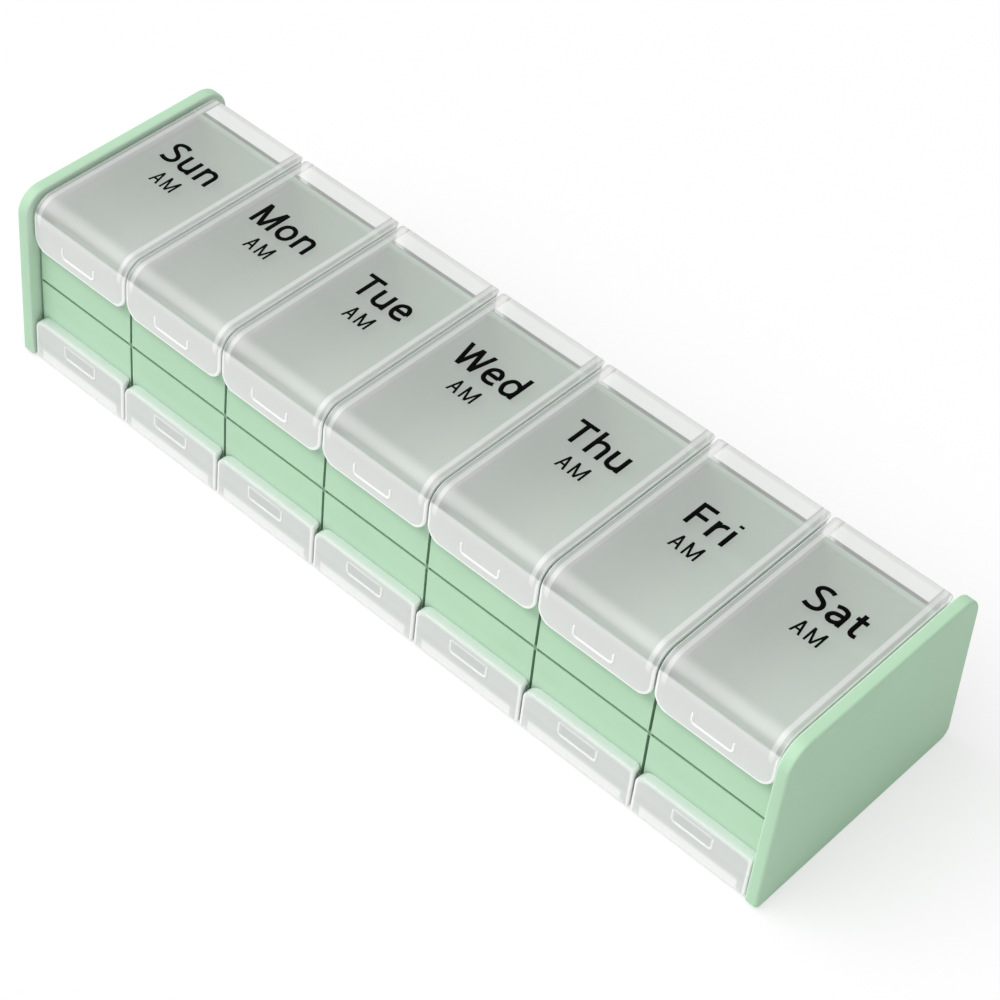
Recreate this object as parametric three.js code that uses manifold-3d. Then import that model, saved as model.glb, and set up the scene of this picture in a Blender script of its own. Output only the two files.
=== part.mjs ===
// Weekly pill organizer with a morning side on top and an evening side underneath.
// Two trays of seven compartments lie back to back between two end plates, and every
// compartment has its own lid on a hinge rod behind the back wall.
// Millimetres, +Z up. X runs from the first day to the last, and the latches face -Y.
// The origin lies on the table, below the middle of the body.
import * as THREE from "three";
import { mergeVertices } from "three/addons/utils/BufferGeometryUtils.js";
import Module from "manifold-3d";

const wasm = await Module();
wasm.setup();

// Body
const dayNames = ["sun", "mon", "tue", "wed", "thu", "fri", "sat"];
const dayPitch = 31;
const bodyHeight = 46.75;
const bodyDepth = 64.7;
const seamShare = 0.4706;
const leanDegrees = 2.6;
const draftDegrees = 0.65;

// End plates
const plateThickness = 3.1;
const plateGap = 0.33;
const plateEdge = 0.6;
const plateTopRadius = 6.2;
const plateBackRadius = 2.9;
const plateFrontRadius = 1.6;

// Trays
const frontWallSetback = 3.34;
const trayWall = 1.8;
const dividerThickness = 2.6;
const floorThickness = 1.5;
const rimClearance = 0.3;
const amRimRadius = 3.9;
const pmRimRadius = 0.8;
const backRimRadius = 0.6;
const pocketCorner = 2;
const pocketFillet = 2;

// Grooves between the day panels of the front wall
const grooveWidth = 0.7;
const grooveDepth = 1.1;
const grooveBridge = 0.7;

// Pegs that join the trays to the end plates
const pegRadius = 2;
const pegDepth = 1.5;
const pegRoot = 0.7;
const pegSpacing = 26;
const pegClearance = 0.3;

// Lids
const lidGap = 0.5;
const amLidInset = 1;
const pmLidInset = 0.3;
const panelThickness = 1.3;
const amSkirtThickness = 1;
const pmSkirtThickness = 1.6;
const amSkirtSetback = 1.7;
const pmSkirtSetback = 0.9;
const amSkirtHeight = 13.3;
const pmSkirtHeight = 11.3;
const amSkirtCorner = 4.1;
const pmSkirtCorner = 2.2;
const amLidFrontRadius = 5.4;
const pmLidFrontRadius = 1.4;
const lidBackSetback = 3.7;
const lidBackRadius = 0.9;
const lidEdge = 0.4;

// Sealing ribs under each lid
const ribWidth = 1.3;
const ribInset = 1.42;
const ribDepth = 1.6;
const ribFoot = 0.2;
const ribRoot = 0.4;
const ribTip = 0.5;
const ribClearance = 0.3;

// Latch: a bead on the tray behind a thinned window in the skirt
const amLatchDrop = 9.1;
const pmLatchDrop = 7.8;
const latchShift = -0.5;
const windowWidth = 10.3;
const windowHeight = 3.3;
const windowCorner = 0.8;
const windowSkin = 0.45;
const ridgeWidth = 0.45;
const ridgeProud = 0.25;
const beadWidth = 8.9;
const beadHeight = 2.2;
const beadCorner = 0.9;
const beadProud = 0.3;

// Hinge
const hingeDrop = 8.5;
const hingeFromLidBack = 2.25;
const rodRadius = 1;
const rodSocketDepth = 1.5;
const rodEndClearance = 0.3;
const boreClearance = 0.2;
const knuckleRadius = 2;
const knuckleClearance = 0.6;
const knuckleSideClearance = 0.4;
const flangeThickness = 1.7;
const lugWidth = 3;
const lugFoot = 5;

// Modelling
const overrun = 1;
const weldDistance = 1e-4;
const turnSteps = 16;
const smallCorner = 1.2;
const smallTurnSteps = 8;
const barSides = 12;
const edgeSteps = 1;
const filletSteps = 2;

// Places worked out from the sizes above
const dayCount = dayNames.length;
const rowLength = dayPitch * dayCount;
const seamHeight = bodyHeight * seamShare;
const lean = Math.tan(THREE.MathUtils.degToRad(leanDegrees));
const draft = Math.tan(THREE.MathUtils.degToRad(draftDegrees));
const plateFace = rowLength / 2 + plateGap;
const lidWidth = dayPitch - lidGap;
const pocketWidth = dayPitch - dividerThickness;
const frontEdge = (z) => z * lean - bodyDepth / 2;
const backEdge = (z) => bodyDepth / 2 - z * lean;
const lidBack = backEdge(bodyHeight) - lidBackSetback;
const hingeY = lidBack - hingeFromLidBack;
const backWall = hingeY - knuckleRadius - knuckleClearance;
const boreRadius = rodRadius + boreClearance;
const dayX = (day) => (day + 0.5) * dayPitch - rowLength / 2;

// Each side faces away from the seam: up is +1 for the morning and -1 for the evening.
// Heights on a side are measured from the seam outwards.
function side(up, sizes) {
  const rise = up * (sizes.faceHeight - seamHeight) - sizes.lidInset;
  const z = (height) => seamHeight + up * height;
  const skirtFront = (height) => frontEdge(z(height)) + sizes.skirtSetback;
  return {
    ...sizes,
    up,
    rise,
    z,
    skirtFront,
    skirtReach: rise - sizes.skirtHeight,
    latch: rise - sizes.latchDrop,
    rim: rise - panelThickness - rimClearance,
    hinge: rise - hingeDrop,
    wallFront: (height) => frontEdge(z(height)) + frontWallSetback + height * draft,
    skirtInner: (height) => skirtFront(height) + sizes.skirtThickness,
    innerRadius: Math.max(sizes.lidFrontRadius - panelThickness, 0),
  };
}

const morning = side(1, {
  name: "am",
  faceHeight: bodyHeight,
  lidInset: amLidInset,
  rimRadius: amRimRadius,
  lidFrontRadius: amLidFrontRadius,
  skirtThickness: amSkirtThickness,
  skirtSetback: amSkirtSetback,
  skirtHeight: amSkirtHeight,
  skirtCorner: amSkirtCorner,
  latchDrop: amLatchDrop,
});
const evening = side(-1, {
  name: "pm",
  faceHeight: 0,
  lidInset: pmLidInset,
  rimRadius: pmRimRadius,
  lidFrontRadius: pmLidFrontRadius,
  skirtThickness: pmSkirtThickness,
  skirtSetback: pmSkirtSetback,
  skirtHeight: pmSkirtHeight,
  skirtCorner: pmSkirtCorner,
  latchDrop: pmLatchDrop,
});

// The morning's front wall stops short of the curve of its lids, the evening's runs to the rim
morning.frontWall = morning.rise - amLidFrontRadius - ribFoot - ribClearance;
evening.frontWall = evening.rim;

// A closed mesh as a solid for joining and cutting
function solid(geometry) {
  const loose = geometry.index ? geometry.toNonIndexed() : geometry;
  const bare = new THREE.BufferGeometry();
  bare.setAttribute("position", loose.getAttribute("position"));
  const merged = mergeVertices(bare, weldDistance);
  return new wasm.Manifold(
    new wasm.Mesh({
      numProp: 3,
      vertProperties: merged.getAttribute("position").array,
      triVerts: new Uint32Array(merged.index.array),
    }),
  );
}

// An outline through [u, v, radius] corners, each rounded by its own radius
function outline(corners) {
  const points = [];
  const add = (point) => {
    const last = points.at(-1);
    if (!last || last.distanceTo(point) > weldDistance) points.push(point);
  };
  corners.forEach(([u, v, radius], index) => {
    const corner = new THREE.Vector2(u, v);
    if (!radius) {
      add(corner);
      return;
    }
    const toward = ([otherU, otherV]) => new THREE.Vector2(otherU, otherV).sub(corner).normalize();
    const before = toward(corners.at(index - 1));
    const after = toward(corners[(index + 1) % corners.length]);
    const halfAngle = Math.acos(before.dot(after)) / 2;
    const middle = before.clone().add(after).setLength(radius / Math.sin(halfAngle)).add(corner);
    const start = before.multiplyScalar(radius / Math.tan(halfAngle)).add(corner).sub(middle);
    const end = after.multiplyScalar(radius / Math.tan(halfAngle)).add(corner).sub(middle);
    const sweep = Math.atan2(start.cross(end), start.dot(end));
    const wholeTurn = radius < smallCorner ? smallTurnSteps : turnSteps;
    const steps = Math.max(2, Math.round((Math.abs(sweep) / (2 * Math.PI)) * wholeTurn));
    for (let step = 0; step <= steps; step++) {
      const turned = start.clone().rotateAround(new THREE.Vector2(), (sweep * step) / steps);
      add(turned.add(middle));
    }
  });
  if (points[0].distanceTo(points.at(-1)) < weldDistance) points.pop();
  return new THREE.Shape(points);
}

// A Y-Z outline swept along X to either side of x, with chamfered end edges
const profilePlane = new THREE.Matrix4().makeBasis(
  new THREE.Vector3(0, 1, 0),
  new THREE.Vector3(0, 0, 1),
  new THREE.Vector3(1, 0, 0),
);
function alongX(corners, width, x = 0, edge = 0) {
  const geometry = new THREE.ExtrudeGeometry(outline(corners), {
    depth: width - 2 * edge,
    bevelEnabled: edge > 0,
    bevelThickness: edge,
    bevelSize: edge,
    bevelOffset: -edge,
    bevelSegments: edgeSteps,
  });
  geometry.translate(0, 0, x + edge - width / 2);
  return solid(geometry.applyMatrix4(profilePlane));
}

// An X-Z outline swept along Y between two depths
function alongY(corners, nearY, farY) {
  const geometry = new THREE.ExtrudeGeometry(outline(corners), {
    depth: farY - nearY,
    bevelEnabled: false,
  });
  geometry.rotateX(Math.PI / 2);
  return solid(geometry.translate(0, farY, 0));
}

// A round bar along X from its middle
function bar(radius, length, x, y, z) {
  const geometry = new THREE.CylinderGeometry(radius, radius, length, barSides);
  geometry.rotateZ(Math.PI / 2);
  return solid(geometry.translate(x, y, z));
}

// A solid through rings of points that lie one beyond the other
function loft(rings) {
  const count = rings[0].length;
  const position = rings.flat(2);
  const index = [];
  for (let ring = 1; ring < rings.length; ring++) {
    for (let i = 0; i < count; i++) {
      const next = (i + 1) % count;
      const low = (ring - 1) * count;
      const high = ring * count;
      index.push(low + i, low + next, high + next, low + i, high + next, high + i);
    }
  }
  const last = (rings.length - 1) * count;
  for (let i = 1; i < count - 1; i++) {
    index.push(0, i + 1, i);
    index.push(last, last + i, last + i + 1);
  }
  const geometry = new THREE.BufferGeometry();
  geometry.setAttribute("position", new THREE.Float32BufferAttribute(position, 3));
  geometry.setIndex(index);
  return solid(geometry);
}

// One node: a mesh with a material of its own
function node(name, body, colour, roughness, metalness = 0) {
  const { vertProperties, triVerts } = body.getMesh();
  const geometry = new THREE.BufferGeometry();
  geometry.setAttribute("position", new THREE.BufferAttribute(vertProperties, 3));
  geometry.setIndex(new THREE.BufferAttribute(triVerts, 1));
  const material = new THREE.MeshStandardMaterial({ color: colour, roughness, metalness });
  const mesh = new THREE.Mesh(geometry, material);
  mesh.name = name;
  return mesh;
}

const greenPlastic = (name, body) => node(name, body, 0xaedbb4, 0.55);
const frostedPlastic = (name, body) => node(name, body, 0xdfe3df, 0.4);
const steel = (name, body) => node(name, body, 0xb8bcc0, 0.3, 1);

// A rectangle with four like corners
const rectangle = (left, low, right, high, radius = 0) => [
  [left, low, radius],
  [right, low, radius],
  [right, high, radius],
  [left, high, radius],
];

// A compartment's space: straight walls, rounded corners and a filleted floor
function pocket(half, x) {
  const ring = (height, inset) => {
    const near = half.wallFront(height) + trayWall + inset;
    const far = backWall - trayWall - inset;
    const reach = pocketWidth / 2 - inset;
    const points = outline(rectangle(x - reach, near, x + reach, far, pocketCorner)).getPoints();
    const ordered = half.up > 0 ? points : points.reverse();
    return ordered.map((point) => [point.x, point.y, half.z(height)]);
  };
  const rings = [];
  for (let step = 0; step <= filletSteps; step++) {
    const turn = (step / filletSteps) * (Math.PI / 2);
    const height = floorThickness + pocketFillet * (1 - Math.cos(turn));
    rings.push(ring(height, pocketFillet * (1 - Math.sin(turn))));
  }
  rings.push(ring(half.rim + overrun, 0));
  return loft(rings);
}

// Above its front wall a morning compartment is open to the curve of the lid
function frontNotch(half, x) {
  const near = half.wallFront(half.frontWall) - overrun;
  const far = half.wallFront(half.frontWall) + trayWall + pocketCorner;
  const corners = rectangle(near, half.z(half.frontWall), far, half.z(half.rim + overrun));
  return alongX(corners, pocketWidth, x);
}

// A shallow cut that follows the leaning front wall between two heights
function frontGroove(half, low, high, width, x) {
  const near = (height) => half.wallFront(height) - overrun;
  const far = (height) => half.wallFront(height) + grooveDepth;
  const corners = [
    [near(low), half.z(low), 0],
    [far(low), half.z(low), 0],
    [far(high), half.z(high), 0],
    [near(high), half.z(high), 0],
  ];
  return alongX(corners, width, x);
}

// A lug that carries the hinge rod, with a gusset towards the seam
function lug(half, width, x) {
  const root = backWall - trayWall / 2;
  const nose = hingeY + knuckleRadius;
  const corners = [
    [root, half.z(half.hinge + knuckleRadius), 0],
    [nose, half.z(half.hinge + knuckleRadius), knuckleRadius],
    [nose, half.z(half.hinge - knuckleRadius), knuckleRadius],
    [hingeY, half.z(half.hinge - knuckleRadius), 0],
    [root, half.z(half.hinge - lugFoot), 0],
  ];
  return alongX(corners, width, x);
}

// An upright rounded rectangle about the middle of a latch
function latchOutline(half, x, width, height, radius) {
  const left = x + latchShift - width / 2;
  const right = x + latchShift + width / 2;
  const low = half.z(half.latch) - height / 2;
  return rectangle(left, low, right, low + height, radius);
}

// The bead that the lid's skirt closes over
function bead(half, x) {
  const face = half.wallFront(half.latch);
  const corners = latchOutline(half, x, beadWidth, beadHeight, beadCorner);
  return alongY(corners, face - beadProud, face + trayWall / 2);
}

// The middles of the two pegs at each end of a tray
function pegPlaces(half) {
  const height = half.hinge / 2;
  const middle = (half.wallFront(height) + backWall) / 2;
  return [-1, 1].map((way) => [middle + (way * pegSpacing) / 2, half.z(height)]);
}

function tray(half) {
  const block = [
    [half.wallFront(0), half.z(0), 0],
    [half.wallFront(half.rim), half.z(half.rim), half.rimRadius],
    [backWall, half.z(half.rim), backRimRadius],
    [backWall, half.z(0), 0],
  ];
  let body = alongX(block, rowLength);
  const end = rowLength / 2;
  body = body.add(lug(half, lugWidth / 2, lugWidth / 4 - end));
  body = body.add(lug(half, lugWidth / 2, end - lugWidth / 4));
  for (let line = 1; line < dayCount; line++) {
    const x = line * dayPitch - end;
    body = body.add(lug(half, lugWidth, x));
    const grooveEnd = half.frontWall - grooveBridge;
    body = body.subtract(frontGroove(half, grooveBridge, grooveEnd, grooveWidth, x));
  }
  body = body.subtract(bar(boreRadius, rowLength + overrun, 0, hingeY, half.z(half.hinge)));
  for (let day = 0; day < dayCount; day++) {
    const x = dayX(day);
    const seamRun = dayPitch - 2 * grooveBridge;
    body = body.add(bead(half, x)).subtract(pocket(half, x));
    if (half.frontWall < half.rim) body = body.subtract(frontNotch(half, x));
    body = body.subtract(frontGroove(half, -overrun, grooveWidth / 2, seamRun, x));
  }
  const pegLength = pegRoot + plateGap + pegDepth;
  for (const [y, z] of pegPlaces(half)) {
    for (const way of [-1, 1]) {
      const x = way * (end - pegRoot + pegLength / 2);
      body = body.add(bar(pegRadius, pegLength, x, y, z));
    }
  }
  return body;
}

// way is -1 for the plate beside the first day and +1 for the one beside the last
function endPlate(way) {
  let body = alongX(
    [
      [frontEdge(0), 0, plateFrontRadius],
      [backEdge(0), 0, plateBackRadius],
      [backEdge(bodyHeight), bodyHeight, plateTopRadius],
      [frontEdge(bodyHeight), bodyHeight, plateTopRadius],
    ],
    plateThickness,
    way * (plateFace + plateThickness / 2),
    plateEdge,
  );
  const drill = (radius, depth, y, z) => {
    const length = depth + overrun;
    const x = way * (plateFace + depth - length / 2);
    body = body.subtract(bar(radius, length, x, y, z));
  };
  for (const half of [morning, evening]) {
    drill(boreRadius, rodSocketDepth + rodEndClearance, hingeY, half.z(half.hinge));
    for (const [y, z] of pegPlaces(half)) {
      drill(pegRadius + pegClearance, pegDepth + pegClearance, y, z);
    }
  }
  return body;
}

function hingeRod(half) {
  const length = 2 * (plateFace + rodSocketDepth);
  return bar(rodRadius, length, 0, hingeY, half.z(half.hinge));
}

// A sealing rib that hugs the inside of the lid, from the front wall to the back wall.
// It follows the curve of a morning lid down to its front wall.
function rib(half, x) {
  const under = half.rise - panelThickness;
  const foot = half.frontWall + ribClearance;
  const tip = under - ribDepth;
  const rimCorner = Math.hypot(hingeY - backWall + trayWall, half.rim - half.hinge);
  const swing = rimCorner + ribClearance;
  const ribBack = hingeY - Math.sqrt(swing ** 2 - (tip - half.hinge) ** 2);
  const behindWall = half.wallFront(tip) + trayWall + pocketCorner;
  const straightFront = [
    [behindWall, half.z(tip), 0],
    [behindWall, half.z(under + ribRoot), 0],
  ];
  const curvedFront = [
    [half.skirtInner(tip) + ribDepth, half.z(tip), half.innerRadius - ribDepth],
    [half.skirtInner(foot) + ribDepth, half.z(foot), 0],
    [half.skirtInner(foot) - ribRoot, half.z(foot), 0],
    [half.skirtInner(under) - ribRoot, half.z(under + ribRoot), half.innerRadius + ribRoot],
  ];
  const corners = [
    ...(half.up > 0 ? curvedFront : straightFront),
    [ribBack, half.z(under + ribRoot), 0],
    [ribBack, half.z(tip), ribTip],
  ];
  return alongX(corners, ribWidth, x);
}

// The hollow side of the lid: it leaves the panel, the skirt and the rear flange
function lidHollow(half) {
  const under = half.rise - panelThickness;
  const mouth = half.skirtReach - overrun;
  const flangeFoot = half.hinge + knuckleRadius + knuckleClearance;
  const flangeFace = lidBack - flangeThickness;
  const corners = [
    [half.skirtInner(mouth), half.z(mouth), 0],
    [half.skirtInner(under), half.z(under), half.innerRadius],
    [flangeFace, half.z(under), lidBackRadius],
    [flangeFace, half.z(flangeFoot), 0],
    [lidBack + overrun, half.z(flangeFoot), 0],
    [lidBack + overrun, half.z(mouth), 0],
  ];
  return alongX(corners, lidWidth + overrun);
}

// The knuckle between two lugs, hanging from the flange
function knuckle(half) {
  const width = dayPitch - lugWidth - 2 * knuckleSideClearance;
  const top = half.hinge + knuckleRadius + knuckleClearance + lidBackRadius;
  const flangeFace = lidBack - flangeThickness;
  const web = [
    [flangeFace, half.z(half.hinge), 0],
    [flangeFace, half.z(top), 0],
    [lidBack, half.z(top), 0],
    [lidBack, half.z(half.hinge), lidBackRadius],
  ];
  return alongX(web, width).add(bar(knuckleRadius, width, 0, hingeY, half.z(half.hinge)));
}

// What rounds one free corner of the skirt when it is cut away
function skirtCornerCut(half, way) {
  const side = way * (lidWidth / 2);
  const outside = side + way * overrun;
  const inside = side - way * half.skirtCorner;
  const low = half.z(half.skirtReach);
  const below = half.z(half.skirtReach - overrun);
  const shoulder = half.z(half.skirtReach + half.skirtCorner);
  const corners = [
    [outside, below, 0],
    [outside, shoulder, 0],
    [side, shoulder, 0],
    [side, low, half.skirtCorner],
    [inside, low, 0],
    [inside, below, 0],
  ];
  const face = half.skirtFront(half.skirtReach);
  return alongY(corners, face - bodyDepth / 2, face + bodyDepth / 4);
}

// The thinned window over the latch bead, open towards the tray
function latchWindow(half) {
  const face = half.skirtFront(half.latch);
  const corners = latchOutline(half, 0, windowWidth, windowHeight, windowCorner);
  return alongY(corners, face + windowSkin, face + half.skirtThickness + overrun);
}

// The fine ridge that marks the window on the outside: open at the top on the morning side
function latchRidge(half) {
  const face = half.skirtFront(half.latch);
  const near = face - ridgeProud;
  const far = face + windowSkin;
  const outer = latchOutline(half, 0, windowWidth, windowHeight, windowCorner);
  const innerWidth = windowWidth - 2 * ridgeWidth;
  const innerHeight = windowHeight - 2 * ridgeWidth;
  const inner = latchOutline(half, 0, innerWidth, innerHeight, windowCorner - ridgeWidth);
  const ridge = alongY(outer, near, far).subtract(alongY(inner, near - overrun, far + overrun));
  if (half.up < 0) return ridge;
  const gap = latchOutline(half, 0, windowWidth + overrun, windowHeight, 0);
  const lift = windowHeight - windowCorner;
  const raised = gap.map(([u, v, radius]) => [u, v + lift, radius]);
  return ridge.subtract(alongY(raised, near - overrun, far + overrun));
}

// A lid in its closed place, at the middle of the row
function lid(half) {
  const shell = [
    [half.skirtFront(half.skirtReach), half.z(half.skirtReach), 0],
    [half.skirtFront(half.rise), half.z(half.rise), half.lidFrontRadius],
    [lidBack, half.z(half.rise), lidBackRadius],
    [lidBack, half.z(half.skirtReach), 0],
  ];
  let body = alongX(shell, lidWidth, 0, lidEdge).subtract(lidHollow(half));
  body = body.subtract(skirtCornerCut(half, -1)).subtract(skirtCornerCut(half, 1));
  const ribX = lidWidth / 2 - ribInset - ribWidth / 2;
  body = body.add(rib(half, -ribX)).add(rib(half, ribX));
  body = body.subtract(latchWindow(half)).add(latchRidge(half)).add(knuckle(half));
  return body.subtract(bar(boreRadius, dayPitch, 0, hingeY, half.z(half.hinge)));
}

const organizer = new THREE.Group();
organizer.add(greenPlastic("end_plate_left", endPlate(-1)));
organizer.add(greenPlastic("end_plate_right", endPlate(1)));
for (const half of [morning, evening]) {
  organizer.add(greenPlastic(`${half.name}_tray`, tray(half)));
  organizer.add(steel(`${half.name}_hinge_rod`, hingeRod(half)));
  const hinged = new THREE.Group();
  hinged.position.set(0, hingeY, half.z(half.hinge));
  const lidBody = lid(half);
  dayNames.forEach((dayName, day) => {
    const mesh = frostedPlastic(`${half.name}_lid_${dayName}`, lidBody);
    mesh.geometry.translate(0, -hingeY, -half.z(half.hinge));
    mesh.position.x = dayX(day);
    hinged.add(mesh);
  });
  organizer.add(hinged);
}

export default organizer;
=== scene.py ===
"""Weekly pill organizer: frosted lids on green trays between two end plates.

Lengths are in metres. X runs from the first day to the last, the latches face -Y and
the morning lids face +Z.
"""

import bpy
import numpy as np
from bpy.props import FloatProperty, FloatVectorProperty, PointerProperty
from mathutils import Matrix, Vector


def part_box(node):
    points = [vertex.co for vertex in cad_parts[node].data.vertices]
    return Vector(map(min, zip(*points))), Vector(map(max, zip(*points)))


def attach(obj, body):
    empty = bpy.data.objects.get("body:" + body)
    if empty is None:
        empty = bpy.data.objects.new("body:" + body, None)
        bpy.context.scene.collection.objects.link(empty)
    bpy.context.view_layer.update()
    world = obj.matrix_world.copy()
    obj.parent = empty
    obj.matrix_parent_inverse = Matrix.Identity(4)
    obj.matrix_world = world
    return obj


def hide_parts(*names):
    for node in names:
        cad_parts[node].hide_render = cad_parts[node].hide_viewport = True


bl_info = {
    "name": "Weekly pill organizer",
    "version": (1, 0, 0),
    "blender": (4, 5, 0),
    "location": "View3D > Sidebar > Organizer",
    "description": "Builds a two-sided weekly pill organizer with frosted lids",
    "category": "Add Mesh",
}

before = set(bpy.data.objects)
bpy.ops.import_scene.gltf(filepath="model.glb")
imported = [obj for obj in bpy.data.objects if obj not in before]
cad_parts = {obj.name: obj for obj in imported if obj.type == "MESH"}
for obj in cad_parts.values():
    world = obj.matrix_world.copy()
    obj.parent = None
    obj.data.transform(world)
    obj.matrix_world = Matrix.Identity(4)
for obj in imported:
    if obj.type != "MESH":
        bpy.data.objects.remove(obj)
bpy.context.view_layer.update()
MILLI = 0.001
DAYS = ("sun", "mon", "tue", "wed", "thu", "fri", "sat")
SIDES = ("am", "pm")
BODY = "organizer_body"


def length(name, description, value):
    """A size, given in millimetres and kept in metres."""
    return FloatProperty(
        name=name, description=description, default=value * MILLI, unit="LENGTH", precision=5
    )


def both(name, description, *values):
    """The same size in the morning and in the evening, given in millimetres."""
    return FloatVectorProperty(
        name=name, description=f"{description}, morning and evening", size=2,
        default=[value * MILLI for value in values], unit="LENGTH", precision=5,
    )


def share(name, description, value):
    return FloatProperty(name=name, description=description, default=value, min=0, max=1, subtype="FACTOR")


def colour(name, description, value):
    return FloatVectorProperty(
        name=name, description=description, default=value, size=3, min=0, max=1, subtype="COLOR"
    )


class OrganizerBodySizes(bpy.types.PropertyGroup):
    """Sizes of the end plates and of the places that the lids follow."""

    depth: length("Depth", "Depth of the end plates", 64.7)
    height: length("Height", "Height of the end plates", 46.75)
    plate_face: length("Plate face", "Inner face of an end plate from the middle", 108.83)
    plate_thickness: length("Plate thickness", "Thickness of an end plate", 3.1)
    plate_edge: length("Plate edge", "Rounding of the end plates' edges", 0.6)
    plate_top_radius: length("Plate top radius", "Radius of the upper corners", 6.2)
    plate_back_radius: length("Plate back radius", "Radius of the lower back corner", 2.9)
    plate_front_radius: length("Plate front radius", "Radius of the lower front corner", 1.6)
    lean: FloatProperty(
        name="Lean", description="Lean of the front and back", default=np.radians(2.6), subtype="ANGLE"
    )


class OrganizerLidSizes(bpy.types.PropertyGroup):
    """Sizes of one lid."""

    width: length("Width", "Width of a lid", 30.5)
    panel: length("Panel", "Thickness of the panel", 1.3)
    skirt: both("Skirt", "Thickness of a skirt", 1.0, 1.6)
    flange: length("Flange", "Thickness of the rear flange", 1.7)
    inset: both("Inset", "Lids' faces inside the end plates' top and foot", 1.0, 0.3)
    setback: both("Setback", "Skirts behind the end plates' edges", 1.7, 0.9)
    back: length("Back", "Lids' backs before the end plates' upper back edge", 3.7)
    radius: both("Radius", "Radius between skirt and panel", 5.4, 0.6)
    back_radius: length("Back radius", "Radius between panel and flange", 0.9)
    corner: both("Corner", "Radius of a skirt's free corner on the first day's side", 4.1, 2.6)
    end_corner: both("End corner", "Same on the last day's side", 4.1, 1.0)
    back_corner: length("Back corner", "Rounding of the back corners in plan", 1.3)
    edge: length("Edge", "Rounding of the edges", 0.42)
    reach: both("Reach", "Height of a skirt", 13.3, 11.3)
    rib_width: length("Rib width", "Width of a sealing rib", 1.3)
    rib_inset: length("Rib inset", "Sealing rib from the lid's side", 1.42)
    rib_depth: length("Rib depth", "Depth of a sealing rib", 1.6)
    rib_mark: length("Rib mark", "Depth that the finish reads on the ribs", 5.0)
    rib_root: length("Rib root", "Root of the sealing rib inside the lid", 0.4)
    pm_lip: length("Evening lip", "Reach of evening skirts' free edges towards the tray", 0.9)
    lip_height: length("Lip height", "Height over which the lip dies out", 1.4)
    pm_rib_front: length("Evening rib front", "Evening ribs' front ends behind the skirts", 4.4)
    rib_back: length("Rib back", "Rear end of the rib before the lid's back", 7.6)
    hinge_drop: length("Hinge drop", "Hinge below the lid's face", 8.5)
    hinge_in: length("Hinge in", "Hinge before the lid's back", 2.25)
    knuckle: length("Knuckle", "Radius of the hinge knuckle", 2.0)
    knuckle_gap: length("Knuckle gap", "Flange's foot above the knuckle", 0.6)
    knuckle_width: length("Knuckle width", "Width of the knuckle between its lugs", 27.2)
    bore: length("Bore", "Radius of the bore for the hinge rod", 1.2)


class OrganizerLatchSizes(bpy.types.PropertyGroup):
    """Sizes of the latch marks on the skirts."""

    width: both("Width", "Width of a latch mark", 10.5, 10.4)
    height: both("Height", "Height of a latch mark", 2.9, 3.5)
    corner: length("Corner", "Corner radius of a latch mark", 1.0)
    line: length("Line", "Width of the raised line", 0.62)
    top_line: length("Top line", "Width of the line along an evening mark's top", 0.36)
    proud: length("Proud", "Height of the raised line", 0.18)
    shift: both("Shift", "Latch mark from the middle of its lid", -0.25, 0.4)
    drop: both("Drop", "Latch mark behind the lid's face", 9.1, 7.8)


class OrganizerLetterSizes(bpy.types.PropertyGroup):
    """Sizes and places of the lettering."""

    day: length("Day", "Height of the capitals of the day's name", 7.2)
    half: length("Half", "Height of the capitals of the half day", 4.15)
    day_back: length("Day back", "Day's base line before the lid's back", 24.1)
    half_back: length("Half back", "Half day's base line before the lid's back", 31.25)
    thickness: length("Thickness", "Thickness of the ink", 0.03)


class OrganizerColours(bpy.types.PropertyGroup):
    """Colours of the finishes, and how much light the lids let through."""

    green: colour("Green", "Green of the trays and end plates", (0.446, 0.678, 0.473))
    # painted light: this paler green lies on the plates' inner faces and on the trays beside the evening
    # skirts, where both lie in shade
    painted_light_green: colour("Pale green", "Plates' inner faces, and beside the evening skirts", (0.64, 0.82, 0.67))
    # painted shade: this darker green lies in the grooves, in the seam and on the rims between two lids, and
    # as a painted shadow just below the morning skirts
    groove: colour("Groove", "Shaded green of the grooves", (0.14, 0.27, 0.17))
    panel: colour("Panel", "Frosted plastic over a compartment", (0.845, 0.84, 0.835))
    skirt: colour("Skirt", "Frosted plastic of the morning skirts", (0.74, 0.755, 0.74))
    pm_skirt: colour("Evening skirt", "Frosted plastic of the evening skirts", (0.69, 0.715, 0.695))
    lip: colour("Lip", "Free edges of the evening skirts", (0.59, 0.71, 0.63))
    # beside the thick edges, this pale grey is laid as painted light: the panels' lighter right side, the
    # highlight across the round front, the strip and line before the rear
    rim: colour("Rim", "Thick edges of the frosted plastic", (0.88, 0.9, 0.88))
    # this white is also a painted highlight on the morning edges, the latch lines and the evening skirts'
    # right sides and feet
    line: colour("Line", "Raised latch lines and lit edges", (0.93, 0.94, 0.93))
    # this grey is painted shade on the line before the rear strip and on the panels' left side, and it
    # darkens the panels towards the back
    shade: colour("Shade", "Shaded line before the rear strip", (0.4, 0.41, 0.4))
    ink: colour("Ink", "Ink of the lettering", (0.002, 0.002, 0.002))
    steel: colour("Steel", "Hinge rods", (0.62, 0.63, 0.64))
    floor: colour("Floor", "Floor", (0.93, 0.93, 0.93))
    panel_share: share("Panel share", "Opacity of the panel's outer face", 0.44)
    panel_inner_share: share("Panel inner share", "Opacity of the panel's inner face", 0.24)
    skirt_share: share("Skirt share", "Opacity of the skirt's outer face", 0.9)
    skirt_inner_share: share("Skirt inner share", "Opacity of the skirt's inner face", 0.2)


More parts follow.
